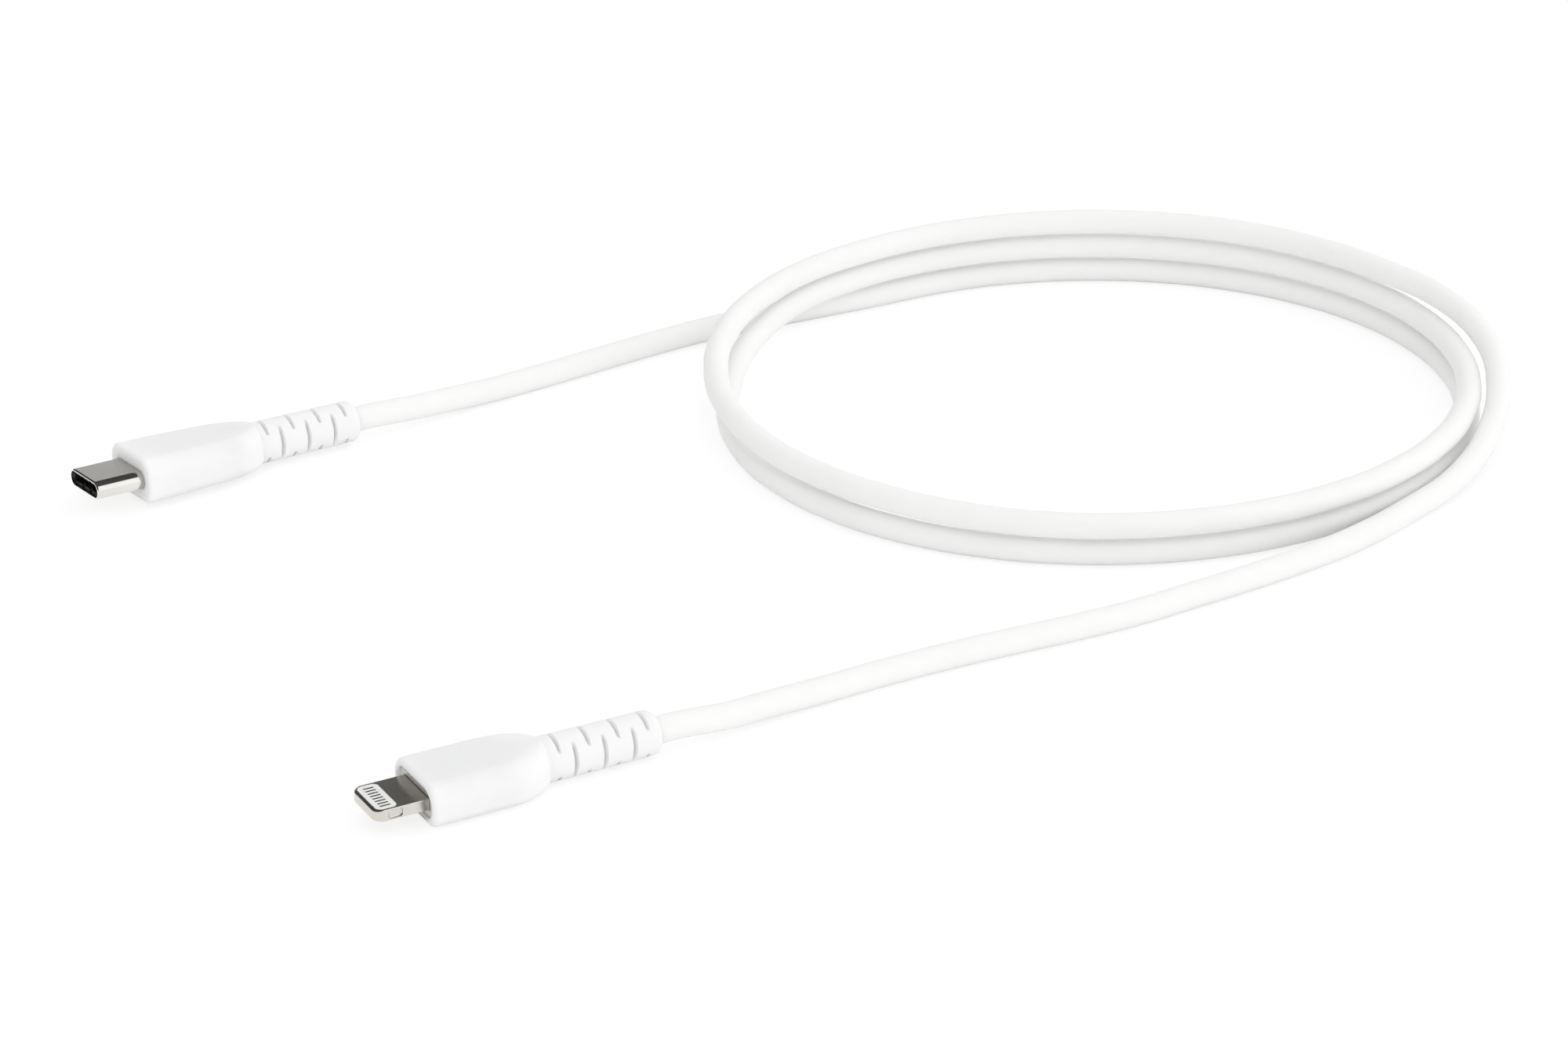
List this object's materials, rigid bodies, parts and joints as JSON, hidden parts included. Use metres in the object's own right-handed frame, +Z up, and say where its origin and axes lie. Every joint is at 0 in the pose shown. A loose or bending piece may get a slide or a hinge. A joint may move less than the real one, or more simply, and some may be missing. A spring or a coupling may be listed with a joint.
{
  "type": "charging cable",
  "caption": "White charging and data cable in a loose coil, with a hollow oval shell plug on one end and a flat steel tab plug on the other, each in a moulded grip with a slotted strain relief.",
  "frame": {"origin": "middle of the box round the two plugs, on the table", "axes": "+Z up from the table, both plugs point roughly towards -X -Y, the coil lies towards +X +Y"},
  "size_m": [0.187, 0.1633, 0.0108],
  "materials": {
    "moulding": "satin",
    "jacket": "satin",
    "shell_nickel": "polished",
    "tab_nickel": "polished",
    "collar_nickel": "satin",
    "spring_steel": "satin",
    "can_steel": "satin",
    "contact_gold": "polished",
    "contact_carrier": "satin",
    "insulator_white": "satin",
    "inner_mould": "matte",
    "circuit_board": "satin",
    "component_black": "matte",
    "wire_red": "satin",
    "wire_white": "satin",
    "wire_green": "satin",
    "wire_black": "satin"
  },
  "bodies": {
    "root": {"shell_plug_shell": "shell_nickel", "shell_plug_contact_block": "contact_carrier", "shell_plug_latch_spring": "spring_steel", "shell_plug_ground_spring_upper": "spring_steel", "shell_plug_ground_spring_lower": "spring_steel", "shell_plug_contact_a1": "contact_gold", "shell_plug_contact_a4": "contact_gold", "shell_plug_contact_a5": "contact_gold", "shell_plug_contact_a6": "contact_gold", "shell_plug_contact_a7": "contact_gold", "shell_plug_contact_a9": "contact_gold", "shell_plug_contact_a12": "contact_gold", "shell_plug_contact_b1": "contact_gold", "shell_plug_contact_b4": "contact_gold", "shell_plug_contact_b5": "contact_gold", "shell_plug_contact_b9": "contact_gold", "shell_plug_contact_b12": "contact_gold", "shell_plug_board": "circuit_board", "shell_plug_resistor": "component_black", "shell_plug_inner_mould": "inner_mould", "shell_plug_can": "can_steel", "shell_plug_wire_red": "wire_red", "shell_plug_wire_white": "wire_white", "shell_plug_wire_green": "wire_green", "shell_plug_wire_black": "wire_black", "shell_plug_cable_end": "jacket", "shell_plug_overmould": "moulding", "tab_plug_frame": "tab_nickel", "tab_plug_insulator": "insulator_white", "tab_plug_contact_upper_1": "contact_gold", "tab_plug_contact_upper_2": "contact_gold", "tab_plug_contact_upper_3": "contact_gold", "tab_plug_contact_upper_4": "contact_gold", "tab_plug_contact_upper_5": "contact_gold", "tab_plug_contact_upper_6": "contact_gold", "tab_plug_contact_upper_7": "contact_gold", "tab_plug_contact_upper_8": "contact_gold", "tab_plug_contact_lower_1": "contact_gold", "tab_plug_contact_lower_2": "contact_gold", "tab_plug_contact_lower_3": "contact_gold", "tab_plug_contact_lower_4": "contact_gold", "tab_plug_contact_lower_5": "contact_gold", "tab_plug_contact_lower_6": "contact_gold", "tab_plug_contact_lower_7": "contact_gold", "tab_plug_contact_lower_8": "contact_gold", "tab_plug_collar": "collar_nickel", "tab_plug_board": "circuit_board", "tab_plug_chip": "component_black", "tab_plug_inner_mould": "inner_mould", "tab_plug_can": "can_steel", "tab_plug_wire_red": "wire_red", "tab_plug_wire_white": "wire_white", "tab_plug_wire_green": "wire_green", "tab_plug_wire_black": "wire_black", "tab_plug_cable_end": "jacket", "tab_plug_overmould": "moulding", "cable_shell_lead": "jacket", "cable_coil": "jacket", "cable_tab_lead": "jacket"}
  },
  "joints": []
}
